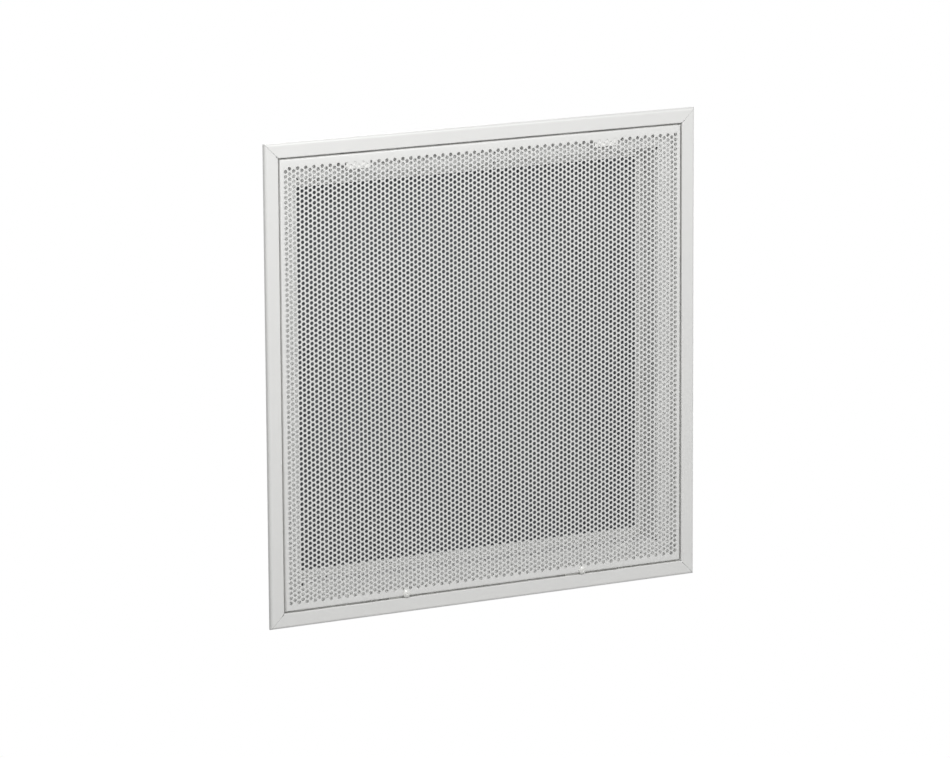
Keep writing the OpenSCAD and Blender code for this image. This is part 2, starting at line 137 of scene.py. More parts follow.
class GrilleFace(bpy.types.PropertyGroup):
    """Sizes of the perforated face of the door"""

    columns: IntProperty(
        name="Columns", description="Columns of holes across the door", default=100, min=3,
    )
    rows: IntProperty(name="Rows", description="Holes in each column", default=86, min=1)
    column_spacing: length("Column spacing", "Distance between two columns", 5.556)
    hole_pitch: length("Hole pitch", "Distance between two holes of a column", 6.35)
    hole_diameter: length("Hole diameter", "Diameter of each hole", 4.76)
    drop: length("Drop", "How far the hole field's middle is below the door's middle", 0.8)
    sheet: length("Sheet", "Thickness of the steel sheet", 1.0)


class GrilleFolds(bpy.types.PropertyGroup):
    """Sizes of the folded edges of the door and of the latch notches in them"""

    radius: length("Fold radius", "Outside radius of the folds", 1.8)
    depth: length("Fold depth", "Depth of the folded edges behind the face", 9.0)
    latch_x: length("Latch place", "Distance of each latch from the middle of the door", 126.35)
    tongue_notch: length("Tongue notch", "Width of the notch for a latch tongue", 23.0)
    tongue_depth: length("Tongue depth", "Depth behind the face at which the notch starts", 2.9)
    button_x: length("Button place", "Distance of a button from the middle of its tongue", 11.8)
    stem_notch: length("Stem notch", "Width of the notch for the stem of a button", 4.6)
    stem_height: length("Stem height", "Height of the notch for the stem of a button", 5.4)


class GrilleRivets(bpy.types.PropertyGroup):
    """Sizes and places of the rivets"""

    shank: length("Shank", "Diameter of the shank of the large rivets", 3.1)
    head: length("Head", "Diameter of the set head", 6.08)
    tail: length("Tail", "Diameter of the tail", 5.12)
    hollow_tail: length("Hollow tail", "Diameter of a tail inside the hollow of the frame", 4.5)
    head_height: length("Head height", "Height of heads and tails", 1.0)
    outer: length("Outer rivets", "Distance of the box's outer rivets from a side's middle", 230.0)
    inner: length("Inner rivets", "Distance of the box's inner rivets from a side's middle", 60.0)
    clip_sheet: length("Clip sheet", "Thickness of the filter clips", 0.8)
    latch_shank: length("Latch shank", "Diameter of the shank of the latch rivets", 2.5)
    latch_head: length("Latch head", "Diameter of the heads of the latch rivets", 4.42)


class GrilleFilter(bpy.types.PropertyGroup):
    """Sizes and colour of the filter pad"""

    bar_spacing: length("Bar spacing", "Distance between two bars of the support screen", 39.0)
    swell: length("Swell", "How far the pad bulges between the bars", 0.7)
    nap: length("Nap", "How far loose fibres lift the surface of the pad", 0.35)
    tint: colour("Pad colour", "Colour of the fibres of the filter pad", "#585A5E")


class GrilleFinishes(bpy.types.PropertyGroup):
    """Colours of the finishes"""

    enamel: colour("Enamel", "White enamel of the frame and the door", "#EFEFED")
    box_enamel: colour("Box enamel", "Enamel of the box behind the door", "#FAFAF9")
    zinc: colour("Zinc", "Zinc plate of the small steel pieces", "#C4C6C8")
    # Painted shade: the clip rivets are made nearly black, for the dark holes in the middle of
    # their heads.
    steel: colour("Dark steel", "Dark rivets", "#2A2A2B")
    # The corner plugs' black is partly the sealing compound's own colour and partly painted shade,
    # for the dark gaps behind the corners of the box.
    mastic: colour("Mastic", "Sealant in the corners of the box", "#141414")
    channel: colour("Channel", "Folded channel round the filter", "#F2F2F0")
    bolt: colour("Bolt", "Plastic of the latch bolts", "#DCDCD8")
    button: colour("Button", "Plastic of the thumb buttons", "#F0F0EC")


class GrilleStudio(bpy.types.PropertyGroup):
    """The camera and the light"""

    azimuth: angle("Azimuth", "How far the camera is round to the right, below 0 left", -28.306)
    elevation: angle("Elevation", "How far the camera stands above the horizon", 11.429)
    roll: angle("Roll", "How far the camera is turned about its own axis", -0.339)
    distance: length("Distance", "Distance of the camera from the grille's middle", 6453.7)
    aside: length("Aside", "How far right of the picture's middle the grille stands", 10.87)
    above: length("Above", "How far above the picture's middle the grille stands", 17.55)
    lens: FloatProperty(
        name="Lens", description="Focal length for a 36 mm wide sensor", default=195.5, min=1.0,
    )
    world: FloatProperty(
        name="World", description="Strength of the light from all round", default=0.15, min=0.0,
    )
    key: power("Key light", "Power of the large lamp in front, above the middle", 37.5)
    side: power("Side light", "Power of the lamp on the left, above the middle", 10.5)
    back: power("Back light", "Power of the lamp that lights the box from behind", 24.0)
    floor_drop: length("Floor drop", "Distance of the floor below the grille's middle", 1400)


# Helpers that several operators share


def add_node(tree, kind, inputs=None, **settings):
    """Adds a node with its settings. Inputs maps a socket to its value or to what feeds it."""
    made = tree.nodes.new(kind)
    for name, value in settings.items():
        setattr(made, name, value)
    for key, value in (inputs or {}).items():
        if isinstance(value, bpy.types.NodeSocket):
            tree.links.new(value, made.inputs[key])
        else:
            made.inputs[key].default_value = value
    return made


def add_object(name, data):
    """Puts a mesh, a lamp or a camera into the scene as an object."""
    made = bpy.data.objects.new(name, data)
    bpy.context.scene.collection.objects.link(made)
    return made


def mesh_of(name, points, faces):
    """A mesh from points and faces, with doubled points joined and the faces turned outwards."""
    mesh = bpy.data.meshes.new(name)
    mesh.from_pydata([tuple(p) for p in points], [], faces)
    shape = bmesh.new()
    shape.from_mesh(mesh)
    bmesh.ops.remove_doubles(shape, verts=shape.verts, dist=WELD)
    bmesh.ops.recalc_face_normals(shape, faces=shape.faces)
    shape.to_mesh(mesh)
    shape.free()
    return mesh


def round_off(mesh, degrees=35):
    """Smooth shading that keeps every edge sharper than the angle."""
    mesh.shade_smooth()
    mesh.set_sharp_from_angle(angle=math.radians(degrees))


def applied(made):
    """Replaces an object's mesh by the result of its modifiers."""
    depsgraph = bpy.context.evaluated_depsgraph_get()
    mesh = bpy.data.meshes.new_from_object(made.evaluated_get(depsgraph))
    made.modifiers.clear()
    made.data = mesh
    mesh.name = made.name
    return made


def thicken(made, sheet):
    """Gives an open skin the thickness of the sheet, towards its inner side."""
    thick = made.modifiers.new("Sheet", "SOLIDIFY")
    thick.thickness, thick.offset = sheet, -1.0
    return thick


def new_tree(name, inputs):
    """A Geometry Nodes tree with a geometry input, the named inputs and a geometry output."""
    tree = bpy.data.node_groups.new(name, "GeometryNodeTree")
    tree.interface.new_socket("Geometry", in_out="INPUT", socket_type="NodeSocketGeometry")
    for label, kind in inputs:
        tree.interface.new_socket(label, in_out="INPUT", socket_type=kind)
    tree.interface.new_socket("Geometry", in_out="OUTPUT", socket_type="NodeSocketGeometry")
    return tree


def grow(name, mesh, tree, values):
    """Runs a tree on a mesh with its inputs set, and keeps the result as a plain mesh object."""
    carrier = add_object(name, mesh)
    modifier = carrier.modifiers.new(tree.name, "NODES")
    modifier.node_group = tree
    for item in tree.interface.items_tree:
        if item.in_out == "INPUT" and item.name in values:
            modifier[item.identifier] = values[item.name]
    return applied(carrier)


def finish_tree(tree, geometry, material):
    """Ends a tree with real geometry, one material and the output."""
    real = add_node(tree, "GeometryNodeRealizeInstances", {"Geometry": geometry})
    merged = add_node(
        tree, "GeometryNodeMergeByDistance", {"Geometry": real.outputs[0], "Distance": SAME},
    )
    dressed = add_node(
        tree, "GeometryNodeSetMaterial", {"Geometry": merged.outputs[0], "Material": material},
    )
    add_node(tree, "NodeGroupOutput", {"Geometry": dressed.outputs[0]})


def dress(made, material):
    """Gives a new piece its one material."""
    made.data.materials.clear()
    made.data.materials.append(material)


def dress_nodes(material, *names):
    """Gives CAD nodes a material through their own slots."""
    for name in names:
        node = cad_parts[name]
        if not node.material_slots:
            node.data.materials.append(material)
        for slot in node.material_slots:
            slot.material = material


# Finishes. Their names differ from those of the materials that model.glb brings along.


def shader(name, settings):
    """A material with a Principled BSDF, its uniform values set, and Object coordinates. Where the
    material is there already, it comes back without a tree, and is ready."""
    found = bpy.data.materials.get(name)
    if found:
        return found, None, None, None
    material = bpy.data.materials.new(name)
    material.use_nodes = True
    tree = material.node_tree
    tree.nodes.clear()
    surface = add_node(tree, "ShaderNodeBsdfPrincipled", settings)
    add_node(tree, "ShaderNodeOutputMaterial", {"Surface": surface.outputs[0]})
    place = add_node(tree, "ShaderNodeTexCoord")
    return material, tree, surface, place.outputs["Object"]


def shade(tint, scale):
    """A colour made darker or lighter, with its alpha."""
    return (*[min(1.0, c * scale) for c in tint], 1.0)


def toned(ramp, tint, low, high):
    """Sets the ends of a colour ramp to a darker and a lighter shade of one colour."""
    for element, scale in zip(ramp.color_ramp.elements, (low, high)):
        element.color = shade(tint, scale)
    return ramp.outputs["Color"]


def finish_surface(tree, surface, tint, tones, gloss, normal=None):
    """Feeds the shader. Tones are a pattern with the darkest and the lightest share of the tint,
    and gloss is a pattern with the lowest and the highest roughness."""
    pattern, *ends = tones
    ramp = add_node(tree, "ShaderNodeValToRGB", {"Fac": pattern})
    tree.links.new(toned(ramp, tint, *ends), surface.inputs["Base Color"])
    pattern, low, high = gloss
    rough = add_node(tree, "ShaderNodeMapRange", {"Value": pattern, "To Min": low, "To Max": high})
    tree.links.new(rough.outputs["Result"], surface.inputs["Roughness"])
    if normal:
        tree.links.new(normal, surface.inputs["Normal"])


def enamel(name, tint, roughness=0.38):
    """White enamel sprayed on sheet steel and baked. It looks satin, with a faint orange peel in
    the reflections and hardly any change of tone from place to place."""
    material, tree, surface, place = shader(name, {"IOR": 1.5})
    if tree is None:
        return material
    # Orange peel has waves of about 1.5 mm. It is drawn at 3 mm, so that it shows.
    peel = add_node(
        tree, "ShaderNodeTexNoise", {"Vector": place, "Scale": 1 / (3 * MM), "Detail": 2.0},
    ).outputs[0]
    # The sheet itself isn't quite flat, over about 60 mm
    sheet = add_node(
        tree, "ShaderNodeTexNoise", {"Vector": place, "Scale": 1 / (60 * MM), "Detail": 3.0},
    ).outputs[0]
    bump = add_node(
        tree, "ShaderNodeBump", {"Height": peel, "Strength": 0.06, "Distance": 0.05 * MM},
    )
    wave = add_node(tree, "ShaderNodeBump", {
        "Height": sheet, "Strength": 0.12, "Distance": 0.6 * MM, "Normal": bump.outputs[0],
    })
    finish_surface(
        tree, surface, tint, (sheet, 0.975, 1.01), (peel, roughness - 0.04, roughness + 0.06),
        wave.outputs[0],
    )
    return material


def zinc_plate(tint, roughness=0.34):
    """Steel with zinc on it. It looks pale grey, with cloudy crystal patches that catch the light
    differently."""
    material, tree, surface, place = shader("zinc_plate", {"Metallic": 1.0})
    if tree is None:
        return material
    # The crystals of hot-dip zinc are about 6 mm across, each with its own tone and gloss
    crystals = add_node(
        tree, "ShaderNodeTexVoronoi", {"Vector": place, "Scale": 1 / (6 * MM), "Randomness": 1.0},
    )
    patch = add_node(
        tree, "ShaderNodeSeparateColor", {"Color": crystals.outputs["Color"]},
    ).outputs
    # The coat is uneven over about 1.2 mm
    cloud = add_node(
        tree, "ShaderNodeTexNoise", {"Vector": place, "Scale": 1 / (1.2 * MM), "Detail": 3.0},
    )
    bump = add_node(tree, "ShaderNodeBump", {
        "Height": cloud.outputs[0], "Strength": 0.08, "Distance": 0.05 * MM,
    })
    finish_surface(
        tree, surface, tint, (patch[0], 0.86, 1.04),
        (patch[1], roughness - 0.08, roughness + 0.12), bump.outputs[0],
    )
    return material


def dark_steel(tint):
    """Steel rivets made nearly black, with a dull shine. The black is painted shade, for the dark
    holes in the middle of the rivet heads.
    """
    material, tree, surface, place = shader("dark_steel", {"Metallic": 1.0})
    if tree is None:
        return material
    # A fine grain in tone and gloss, drawn at 0.6 mm so that it shows.
    grain = add_node(
        tree, "ShaderNodeTexNoise", {"Vector": place, "Scale": 1 / (0.6 * MM), "Detail": 3.0},
    ).outputs[0]
    finish_surface(tree, surface, tint, (grain, 0.7, 1.3), (grain, 0.42, 0.6))
    return material


def sealant_and_shade(tint):
    """Black butyl sealing compound pressed into a hole by hand. It looks matt, dark and slightly
    lumpy. Its black is partly the compound's own colour and partly painted shade, for the dark gaps
    behind the corners of the box.
    """
    material, tree, surface, place = shader("butyl_mastic", {"IOR": 1.48})
    if tree is None:
        return material
    # Lumps of about 1 mm
    lumps = add_node(
        tree, "ShaderNodeTexNoise", {"Vector": place, "Scale": 1 / MM, "Detail": 2.0},
    ).outputs[0]
    bump = add_node(
        tree, "ShaderNodeBump", {"Height": lumps, "Strength": 0.5, "Distance": 0.4 * MM},
    )
    finish_surface(
        tree, surface, tint, (lumps, 0.8, 1.4), (lumps, 0.55, 0.8), bump.outputs[0],
    )
    return material


def rolled_sheet(tint):
    """Mill-finish aluminium channel, rolled. It looks pale and silky, with fine lines along the
    rolling direction."""
    material, tree, surface, place = shader("rolled_channel", {"Metallic": 0.35, "IOR": 1.5})
    if tree is None:
        return material
    # Rolling lines are about 0.1 mm apart. They are drawn 0.8 mm apart, so that they show.
    stretched = add_node(
        tree, "ShaderNodeMapping", {"Vector": place, "Scale": (0.02, 1.0, 1.0)},
    )
    lines = add_node(tree, "ShaderNodeTexNoise", {
        "Vector": stretched.outputs[0], "Scale": 1 / (0.8 * MM), "Detail": 3.0,
    }).outputs[0]
    bump = add_node(
        tree, "ShaderNodeBump", {"Height": lines, "Strength": 0.08, "Distance": 0.03 * MM},
    )
    finish_surface(
        tree, surface, tint, (lines, 0.94, 1.03), (lines, 0.34, 0.5), bump.outputs[0],
    )
    return material


def fibre_pad(tint):
    """Needled polyester fibre. It looks matt and dark, with single paler fibres on top of a
    cloudy ground."""
    material, tree, surface, place = shader("polyester_fibre", {
        "IOR": 1.45, "Roughness": 0.92, "Sheen Weight": 0.25, "Sheen Roughness": 0.6,
    })
    if tree is None:
        return material
    # Cloudy ground, about 14 mm across
    cloud = add_node(
        tree, "ShaderNodeTexNoise", {"Vector": place, "Scale": 1 / (14 * MM), "Detail": 4.0},
    )
    ramp = add_node(tree, "ShaderNodeValToRGB", {"Fac": cloud.outputs[0]})
    ground = toned(ramp, tint, 0.7, 1.25)
    # Fibres are about 0.03 mm thick. They are drawn as strands of about 0.5 mm, in four layers. A
    # layer is stretched before it is turned, so all of them lie mainly across the pad.
    layers = None
    for turn in (12, 57, 101, 148):
        laid = add_node(tree, "ShaderNodeMapping", {
            "Vector": place, "Rotation": (0.0, math.radians(turn), 0.0), "Scale": (0.06, 0.3, 1.0),
        })
        strand = add_node(tree, "ShaderNodeTexNoise", {
            "Vector": laid.outputs[0], "Scale": 1 / (0.9 * MM), "Detail": 2.0, "Distortion": 0.4,
        }).outputs[0]
        layers = strand if layers is None else add_node(
            tree, "ShaderNodeMath", {0: layers, 1: strand}, operation="MAXIMUM",
        ).outputs[0]
    # The strands that lie on top are paler
    bright = add_node(tree, "ShaderNodeMapRange", {
        "Value": layers, "From Min": 0.58, "From Max": 0.72, "To Max": 0.5,
    })
    lift = add_node(
        tree, "ShaderNodeMix", {0: bright.outputs[0], MIX_A: ground, MIX_B: shade(tint, 3.2)},
        data_type="RGBA",
    )
    tree.links.new(lift.outputs[MIX_RESULT], surface.inputs["Base Color"])
    bump = add_node(
        tree, "ShaderNodeBump", {"Height": layers, "Strength": 0.6, "Distance": 0.5 * MM},
    )
    tree.links.new(bump.outputs[0], surface.inputs["Normal"])
    return material


def moulded(name, tint, roughness, coat):
    """Injection-moulded nylon. It looks smooth and slightly milky, with a fine grain left by the
    mould."""
    material, tree, surface, place = shader(name, {
        "IOR": 1.53, "Coat Weight": coat,
        "Subsurface Weight": 0.08, "Subsurface Radius": (0.6 * MM,) * 3,
    })
    if tree is None:
        return material
    # Mould grain of about 0.4 mm
    grain = add_node(
        tree, "ShaderNodeTexNoise", {"Vector": place, "Scale": 1 / (0.4 * MM), "Detail": 2.0},
    ).outputs[0]
    bump = add_node(
        tree, "ShaderNodeBump", {"Height": grain, "Strength": 0.1, "Distance": 0.03 * MM},
    )
    finish_surface(
        tree, surface, tint, (grain, 0.97, 1.01), (grain, roughness, roughness + 0.08),
        bump.outputs[0],
    )
    return material


# The perforated face


def cell_rim(spacing, pitch):
    """The six corners of the patch of sheet round a hole, anticlockwise from its right tip."""
    tip = (spacing**2 + pitch**2 / 4) / (2 * spacing)
    flat = (spacing**2 - pitch**2 / 4) / (2 * spacing)
    half = pitch / 2
    return [(tip, 0), (flat, half), (-flat, half), (-tip, 0), (-flat, -half), (flat, -half)]


def hole_cell(spacing, pitch, diameter, sides=12):
    """One hole in the six-sided patch of sheet that is nearest to it, flat on the XY plane."""
    rim = cell_rim(spacing, pitch)
    corners = len(rim)
    step = 2 * math.pi / sides
    # The many-sided hole has the area of the round one
    radius = diameter / 2 * math.sqrt(2 * math.pi / (sides * math.sin(step)))
    hole = [(radius * math.cos(k * step), radius * math.sin(k * step)) for k in range(sides)]
    points = [(x, y, 0) for x, y in rim + hole]
    faces = []
    for here in range(corners):
        there = (here + 1) % corners
        first, middle, last = (corners + (2 * here + k) % sides for k in range(3))
        faces += [(here, middle, first), (here, there, middle), (there, last, middle)]
    mesh = bpy.data.meshes.new("hole_cell")
    mesh.from_pydata(points, [], faces)
    return mesh


def perforation_tree():
    """Lays a cell on every place of a staggered field, stands the field up and realises it."""
    tree = new_tree("Perforation", [
        ("Cell", "NodeSocketObject"), ("First Column", "NodeSocketInt"),
        ("Columns", "NodeSocketInt"), ("All Columns", "NodeSocketInt"),
        ("Rows", "NodeSocketInt"), ("Column Spacing", "NodeSocketFloat"),
        ("Hole Pitch", "NodeSocketFloat"), ("Drop", "NodeSocketFloat"),
        ("Face", "NodeSocketFloat"), ("Material", "NodeSocketMaterial"),
    ])
    known = {socket.name: socket for socket in add_node(tree, "NodeGroupInput").outputs}
    known["index"] = add_node(tree, "GeometryNodeInputIndex").outputs[0]
    # Each line is a Math node: what it gives, its operation and what it works on. Every second
    # column stands half a pitch higher.
    for result, operation, *values in (
        ("count", "MULTIPLY", "Columns", "Rows"),
        ("turn", "DIVIDE", "index", "Rows"),
        ("own column", "FLOOR", "turn"),
        ("column", "ADD", "own column", "First Column"),
        ("row", "FLOORED_MODULO", "index", "Rows"),
        ("last column", "SUBTRACT", "All Columns", 1.0),
        ("middle column", "MULTIPLY", "last column", 0.5),
        ("columns out", "SUBTRACT", "column", "middle column"),
        ("across", "MULTIPLY", "columns out", "Column Spacing"),
        ("odd", "FLOORED_MODULO", "column", 2.0),
        ("side", "SUBTRACT", "odd", 0.5),
        ("stagger", "MULTIPLY", "side", 0.5),
        ("last row", "SUBTRACT", "Rows", 1.0),
        ("middle row", "MULTIPLY", "last row", 0.5),
        ("rows out", "SUBTRACT", "row", "middle row"),
        ("staggered", "ADD", "rows out", "stagger"),
        ("height", "MULTIPLY", "staggered", "Hole Pitch"),
        ("up", "SUBTRACT", "height", "Drop"),
    ):
        inputs = {i: known.get(value, value) for i, value in enumerate(values)}
        known[result] = add_node(tree, "ShaderNodeMath", inputs, operation=operation).outputs[0]
    line = add_node(tree, "GeometryNodeMeshLine", {"Count": known["count"]})
    spot = add_node(tree, "ShaderNodeCombineXYZ", {"X": known["across"], "Y": known["up"]})
    placed = add_node(tree, "GeometryNodeSetPosition", {
        "Geometry": line.outputs[0], "Position": spot.outputs[0],
    })
    cell = add_node(tree, "GeometryNodeObjectInfo", {"Object": known["Cell"]})
    spread = add_node(tree, "GeometryNodeInstanceOnPoints", {
        "Points": placed.outputs[0], "Instance": cell.outputs["Geometry"],
    })
    depth = add_node(tree, "ShaderNodeCombineXYZ", {"Y": known["Face"]})
    stood = add_node(tree, "GeometryNodeTransform", {
        "Geometry": spread.outputs[0], "Translation": depth.outputs[0],
        "Rotation": (math.radians(90), 0.0, 0.0),
    })
    finish_tree(tree, stood.outputs[0], known["Material"])
    return tree


class GRILLE_OT_face(bpy.types.Operator):
    """Makes the field of round holes in the face of the door, in three pieces"""

    bl_idname = "grille.face"
    bl_label = "Perforated Face"

    def execute(self, context):
        face, finishes = context.scene.grille_face, context.scene.grille_finishes
        paint = enamel("enamel_door", finishes.enamel)
        cell = add_object(
            "hole_cell", hole_cell(face.column_spacing, face.hole_pitch, face.hole_diameter),
        )
        tree = perforation_tree()
        sides = ("left", "middle", "right")
        first = 0
        for k, side in enumerate(sides):
            last = round(face.columns * (k + 1) / len(sides))
            name = f"door_holes_{side}"
            piece = grow(name, bpy.data.meshes.new(name), tree, {
                "Cell": cell, "First Column": first, "Columns": last - first,
                "All Columns": face.columns, "Rows": face.rows,
                "Column Spacing": face.column_spacing, "Hole Pitch": face.hole_pitch,
                "Drop": face.drop, "Face": FACE_Y, "Material": paint,
            })
            thicken(piece, face.sheet)
            applied(piece)
            round_off(piece.data)
            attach(piece, "door")
            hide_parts("perforated_door")
            first = last
        bpy.data.objects.remove(cell)
        return {"FINISHED"}


# The rim of the door


def lean(column):
    """How far a column stands above or below the others' mean, in pitches."""
    return (column % 2 - 0.5) / 2


def hole_place(face, column, row):
    """The middle of a hole, as x and z."""
    x = (column - (face.columns - 1) / 2) * face.column_spacing
    z = (row - (face.rows - 1) / 2 + lean(column)) * face.hole_pitch - face.drop
    return x, z


def field_border(face):
    """Points and edges of the zigzag line round the holes, where only one cell has an edge."""
    rim = cell_rim(face.column_spacing, face.hole_pitch)
    points, counts = {}, {}
    for column in range(face.columns):
        for row in range(face.rows):
            x, z = hole_place(face, column, row)
            ring = []
            for dx, dz in rim:
                key = (round((x + dx) / CORNER_GRID), round((z + dz) / CORNER_GRID))
                points.setdefault(key, (x + dx, z + dz))
                ring.append(key)
            for edge in zip(ring, ring[1:] + ring[:1]):
                counts[frozenset(edge)] = counts.get(frozenset(edge), 0) + 1
    border = [tuple(edge) for edge, count in counts.items() if count == 1]
    used = sorted({key for edge in border for key in edge})
    number = {key: i for i, key in enumerate(used)}
    return [points[key] for key in used], [(number[a], number[b]) for a, b in border]


def in_field(face, spot):
    """True where the nearest hole of the endless pattern is one of the door's own."""
    about = round(spot.x / face.column_spacing + (face.columns - 1) / 2)
    height = (spot.y + face.drop) / face.hole_pitch
    found = []
    for column in (about - 1, about, about + 1):
        row = round(height + (face.rows - 1) / 2 - lean(column))
        x, z = hole_place(face, column, row)
        own = 0 <= column < face.columns and 0 <= row < face.rows
        found.append((math.hypot(spot.x - x, spot.y - z), own))
    return min(found, key=lambda hole: hole[0])[1]


def notch_spans(folds):
    """Spans in X of the notches for the tongues and for the stems, on both sides."""
    tongues, stems = [], []
    for side in (-1, 1):
        middle = side * folds.latch_x
        tongues.append((middle - folds.tongue_notch / 2, middle + folds.tongue_notch / 2))
        stem = middle + folds.button_x
        stems.append((stem - folds.stem_notch / 2, stem + folds.stem_notch / 2))
    return tongues, stems


def edge_breaks(folds, turn):
    """Places along a folded edge where its notches start and end. The lower edge, turn 0, has
    those for the tongues and the stems, and the upper one, turn 2, those for the tongues."""
    tongues, stems = notch_spans(folds)
    spans = {0: tongues + stems, 2: tongues}.get(turn, [])
    return sorted(x for span in spans for x in span)


def within(x, spans):
    """True where x is inside one of the spans."""
    return any(low < x < high for low, high in spans)


def margin_sheet(face, folds, plate):
    """Points, as x and z, and triangles of the flat margin between the holes and the folds."""
    points, edges = field_border(face)
    _, stems = notch_spans(folds)
    top = folds.stem_height - DOOR_HALF
    lower = [x for x in edge_breaks(folds, 0) if not within(x, stems)]
    outline = []
    for x in [-plate, *lower, plate]:
        outline.append((x, -plate))
        for low, high in stems:
            if abs(x - low) < SAME:
                outline += [(low, top), (high, top)]
    outline += [(x, plate) for x in [plate, *reversed(edge_breaks(folds, 2)), -plate]]
    ring = [len(points) + i for i in range(len(outline))]
    edges = edges + list(zip(ring, ring[1:] + ring[:1]))
    spots = [Vector(p) for p in points + outline]
    spots, _, faces, *_ = delaunay_2d_cdt(spots, edges, [], 0, MARGIN_TOLERANCE)
    kept = []
    for corners in faces:
        middle = sum((spots[i] for i in corners), Vector((0, 0))) / len(corners)
        notched = within(middle.x, stems) and middle.y < top
        if not notched and not in_field(face, middle):
            kept.append(list(corners))
    return spots, kept


def rim_mesh(face, folds, bends=6):
    """The outer skin of the margin and the folded edges, as one open sheet facing outwards."""
    plate = DOOR_HALF - folds.radius
    flat, faces = margin_sheet(face, folds, plate)
    points = [(p.x, FACE_Y, p.y) for p in flat]
    # The fold, as steps out from the plate and back from the face
    turns = [math.radians(90) * k / bends for k in range(bends + 1)]
    steps = [(folds.radius * math.sin(t), folds.radius * (1 - math.cos(t))) for t in turns]
    steps += [(folds.radius, folds.tongue_depth), (folds.radius, folds.depth)]
    tongues, stems = notch_spans(folds)
    for turn in range(4):
        inner = edge_breaks(folds, turn)
        rows = []
        for out, back in steps:
            reach = plate + out
            row = []
            for x in [-reach, *inner, reach]:
                place = Matrix.Rotation(turn * math.pi / 2, 3, "Y") @ Vector((x, 0, -reach))
                row.append(len(points))
                points.append((place.x, FACE_Y + back, place.z))
            rows.append(row)
        ends = [-plate, *inner, plate]
        for k in range(len(rows) - 1):
            deep = steps[k][1] >= folds.tongue_depth - SAME
            for j in range(len(ends) - 1):
                middle = (ends[j] + ends[j + 1]) / 2
                stem = turn == 0 and within(middle, stems)
                if inner and (stem or (deep and within(middle, tongues))):
                    continue
                faces.append([rows[k][j], rows[k][j + 1], rows[k + 1][j + 1], rows[k + 1][j]])
    mesh = mesh_of("door_rim", points, faces)
    front = max(mesh.polygons, key=lambda p: abs(p.normal.y) * p.area)
    if front.normal.y > 0:
        mesh.flip_normals()
    return mesh


class GRILLE_OT_rim(bpy.types.Operator):
    """Makes the plain margin round the holes with the folded edges of the door"""

    bl_idname = "grille.rim"
    bl_label = "Door Rim"

    def execute(self, context):
        scene = context.scene
        made = add_object("door_rim", rim_mesh(scene.grille_face, scene.grille_folds))
        thicken(made, scene.grille_face.sheet).use_even_offset = True
        applied(made)
        dress(made, enamel("enamel_door", scene.grille_finishes.enamel))
        round_off(made.data)
        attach(made, "door")
        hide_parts("perforated_door")
        return {"FINISHED"}


# Rivets


def dome(radius, height, start, way, bends=3):
    """The outline of a rivet's domed end, from its straight rim to near its tip."""
    turns = [math.radians(90) * k / bends for k in range(bends)]
    return [
        (radius * math.cos(t), start + way * height * (RIVET_BRIM + (1 - RIVET_BRIM) * math.sin(t)))
        for t in turns
    ]


def rivet_mesh(name, shank, grip, head, head_height, tail=0, tail_height=0, sides=16):
    """A rivet along Z, closed at both ends, with its domed head above z = 0 and its shank below."""
    profile = []
    if tail:
        profile += dome(tail / 2, tail_height, -grip, -1)[::-1] + [(tail / 2, -grip)]
    profile += [(shank / 2, -grip), (shank / 2, 0.0), (head / 2, 0.0)]
    profile += dome(head / 2, head_height, 0.0, 1)
    # The two tips come first, and then a ring for each point of the profile
    points, faces = [(0, 0, -grip - tail_height), (0, 0, head_height)], []
    for radius, z in profile:
        for k in range(sides):
            turn = 2 * math.pi * k / sides
            points.append((radius * math.cos(turn), radius * math.sin(turn), z))
    for ring in range(len(profile) - 1):
        for k in range(sides):
            a, b = 2 + ring * sides + k, 2 + ring * sides + (k + 1) % sides
            faces.append((a, b, b + sides, a + sides))
    last = 2 + (len(profile) - 1) * sides
    for k in range(sides):
        faces.append((0, 2 + (k + 1) % sides, 2 + k))
        faces.append((1, last + k, last + (k + 1) % sides))
    return mesh_of(name, points, faces)


def rivet_tree():
    """Puts a rivet on each point, with its head towards the point's own direction."""
    tree = new_tree("Rivets", [("Rivet", "NodeSocketObject"), ("Material", "NodeSocketMaterial")])
    given = add_node(tree, "NodeGroupInput").outputs
    aim = add_node(
        tree, "GeometryNodeInputNamedAttribute", {"Name": "aim"}, data_type="FLOAT_VECTOR",
    )
    turned = add_node(
        tree, "FunctionNodeAlignRotationToVector", {"Vector": aim.outputs[0]}, axis="Z",
    )
    rivet = add_node(tree, "GeometryNodeObjectInfo", {"Object": given["Rivet"]})
    spread = add_node(tree, "GeometryNodeInstanceOnPoints", {
        "Points": given["Geometry"], "Instance": rivet.outputs["Geometry"],
        "Rotation": turned.outputs[0],
    })
    finish_tree(tree, spread.outputs[0], given["Material"])
    return tree


def rivets(name, tree, rivet, places, material, body):
    """Rivets at places, each a point and the way of its head, for the CAD node of that name."""
    base = bpy.data.meshes.new(name)
    base.from_pydata([point for point, _ in places], [], [])
    aim = base.attributes.new("aim", "FLOAT_VECTOR", "POINT")
    for k, (_, way) in enumerate(places):
        aim.data[k].vector = way
    source = add_object("rivet", rivet)
    piece = grow(f"{name}_domed", base, tree, {"Rivet": source, "Material": material})
    bpy.data.objects.remove(source)
    round_off(piece.data, 40)
    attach(piece, body)
    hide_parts(name)


def box_rivets(size, tree, material):
    """Four on each side of the box, with their heads behind the box's flange."""
    low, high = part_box("box_rivets")
    height = size.head_height
    reach = high.z - size.head / 2
    places = []
    for across in (-size.outer, -size.inner, size.inner, size.outer):
        for x, z in ((across, reach), (across, -reach), (reach, across), (-reach, across)):
            places.append(((x, high.y - height, z), (0, 1, 0)))
    grip = high.y - low.y - 2 * height
    rivet = rivet_mesh(
        "box_rivet", size.shank, grip, size.head, height, size.hollow_tail, height,
    )
    rivets("box_rivets", tree, rivet, places, material, "housing")


